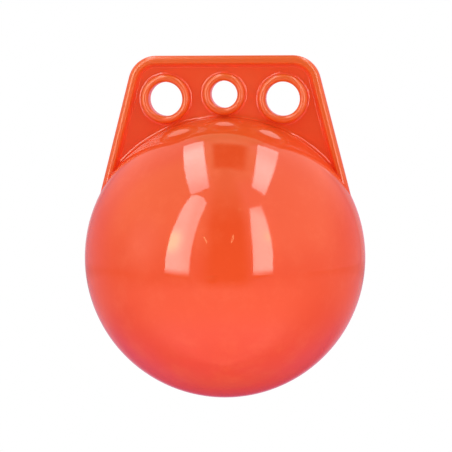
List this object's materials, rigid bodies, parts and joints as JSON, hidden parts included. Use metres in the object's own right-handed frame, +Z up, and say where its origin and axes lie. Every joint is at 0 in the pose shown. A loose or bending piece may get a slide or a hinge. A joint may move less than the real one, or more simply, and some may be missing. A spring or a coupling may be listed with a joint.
{
  "type": "marker buoy",
  "caption": "Small round marker buoy in translucent orange plastic, with a flat rimmed hanging plate moulded on top and ringed rope eyes through it.",
  "frame": {"origin": "middle of the centre eye, on its axis and in the plate's mid-plane", "axes": "+Z up through the plate's top edge, +Y square to the plate out of its back, +X to the right seen from the front"},
  "size_m": [0.15, 0.15, 0.1825],
  "materials": {
    "orange_plastic": "glossy, slightly translucent, moulded"
  },
  "bodies": {
    "root": {"buoy_body": "orange_plastic"}
  },
  "joints": []
}
